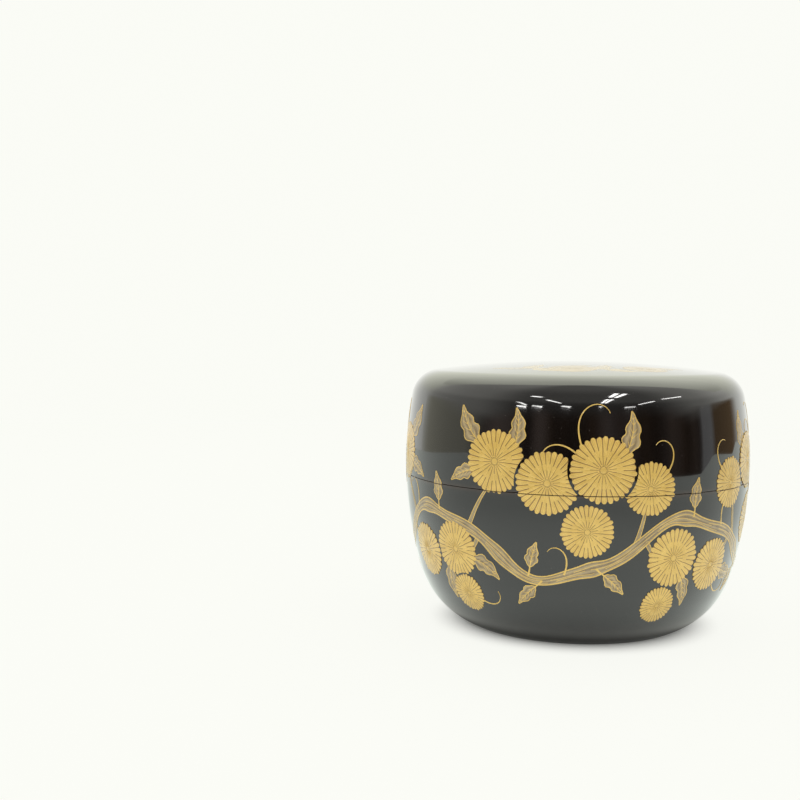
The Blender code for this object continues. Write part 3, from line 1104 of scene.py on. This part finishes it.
def addRoom(name, start, end, low):
    # a part of a wide ball, from one azimuth to another and from its lowest elevation up
    def spot(column, row):
        azimuth = start + room["step"] * column
        elevation = low + room["step"] * row
        turn = radians(azimuth) - quarter
        reach = room["radius"] * cos(radians(elevation))
        point = (*onCircle((0, 0), reach, turn), room["radius"] * sin(radians(elevation)))
        return point, roomLight((azimuth + 180) % 360 - 180, elevation)

    addGlowSheet(name, (end - start) // room["step"], (90 - low) // room["step"], spot)


# the room is dim in front and brighter to the sides; behind the caddy it begins above the white background
addRoom("room", -132, 132, -34)
addRoom("room_behind", 132, 228, 8)

card = dict(
    height=0.75, sides=(-0.85, 1.4), depth=(-0.06, 0.83), bend=(1.05, 0.28), steps=32,
    glow=(1.1, 1.75, 2.35), rise=0.7, sideRise=0.8, tint=(0.97, 0.985, 0.84),
)


def cardSpot(column, row):
    # the bright sheet above, whose near edge bends back at both sides; the shoulder shows it as a crisp line
    near, far = card["depth"]
    left, right = card["sides"]
    atSide, atBack, atFront = card["glow"]
    x = blend(left, right, column / card["steps"])
    front = min(near + card["bend"][x > 0] * x * x, far)
    y = blend(front, far, row / card["steps"])
    level = blend(atBack, atFront, smooth((far - y) / (far - near), 0, card["rise"]))
    level = blend(atSide, level, smooth(1 - x / (left if x < 0 else right), 0, card["sideRise"]))
    return (x, y, card["height"]), [level * part for part in card["tint"]]


addGlowSheet("overhead_card", card["steps"], card["steps"], cardSpot)

# ceiling tubes, which the shoulder shows as short bright lines: both ends, and the share of the usual width
tubes = dict(
    height=2.05, width=0.13, glow=18.0, colour=(1.0, 0.99, 0.96),
    places=[
        ((0.75, -1.40), (0.75, -2.38), 1), ((0.98, -1.40), (0.96, -2.45), 1),
        ((0.81, -3.06), (0.86, -5.34), 1), ((1.00, -3.04), (1.09, -5.30), 1),
        ((1.20, -7.26), (0.93, -7.51), 2.5), ((3.33, -1.03), (3.16, -2.29), 1.2),
        ((3.54, -3.32), (3.91, -5.73), 1.5), ((4.18, -6.80), (3.33, -7.37), 2.5),
        ((-1.52, -2.33), (-1.71, -1.92), 1.5), ((-1.85, -3.40), (-1.78, -5.49), 1.3),
        ((-1.52, -7.46), (-2.19, -6.99), 3), ((-4.60, -4.05), (-5.05, -5.75), 1.6),
        ((-4.01, -6.84), (-4.73, -6.19), 2.5), ((-5.52, -6.27), (-6.18, -5.56), 2.5)],
)
points = []
faces = []
for start, end, share in tubes["places"]:
    turn = away(start, end) + quarter
    half = share * tubes["width"] / 2
    faces.append(range(len(points), len(points) + 4))
    points += [(*onCircle(place, side * half, turn), tubes["height"])
               for place, side in ((start, -1), (start, 1), (end, 1), (end, -1))]
addSheet("tubes", points, faces, glowMaterial("tube glow", tubes["glow"], tubes["colour"]))

lamps = {
    "overhead": dict(place=(0, -0.05, 0.80), size=(2.4, 2.0), power=14.6),
    "fill": dict(place=(-0.20, -1.0, 0.30), size=(0.7, 0.7), power=2.2, aim=(0, 0, 30 * mm)),
}
worldFill = 0.40   # the background's light on the caddy


def addLamp(name, place, size, power, aim=None):
    data = bpy.data.lights.new(name, "AREA")
    data.shape = "RECTANGLE"
    data.size, data.size_y = size
    data.energy = power
    lamp = bpy.data.objects.new(name, data)
    lamp.matrix_world = Matrix.Translation(place)
    if aim:
        lamp.matrix_world @= (Vector(place) - Vector(aim)).to_track_quat("Z", "Y").to_matrix().to_4x4()
    lamp.visible_camera = False
    lamp.visible_glossy = False   # the gloss sees the room, the card and the background instead
    bpy.context.scene.collection.objects.link(lamp)


world = bpy.data.worlds.new("studio")
bpy.context.scene.world = world
world.use_nodes = True
fill = Value(world.node_tree.nodes["Background"].outputs[0])
setShader(fill, Color=white, Strength=worldFill)
bright = node("ShaderNodeBackground", "Color", "Strength")(white, 1.0, fill)
shown = mixShader(plainView(fill), fill, bright)
plug(world.node_tree.nodes["World Output"].inputs["Surface"], shown)
for name, lamp in lamps.items():
    addLamp(name, **lamp)
bpy.context.scene.view_settings.view_transform = "Standard"
print("stage, lamps and camera set")
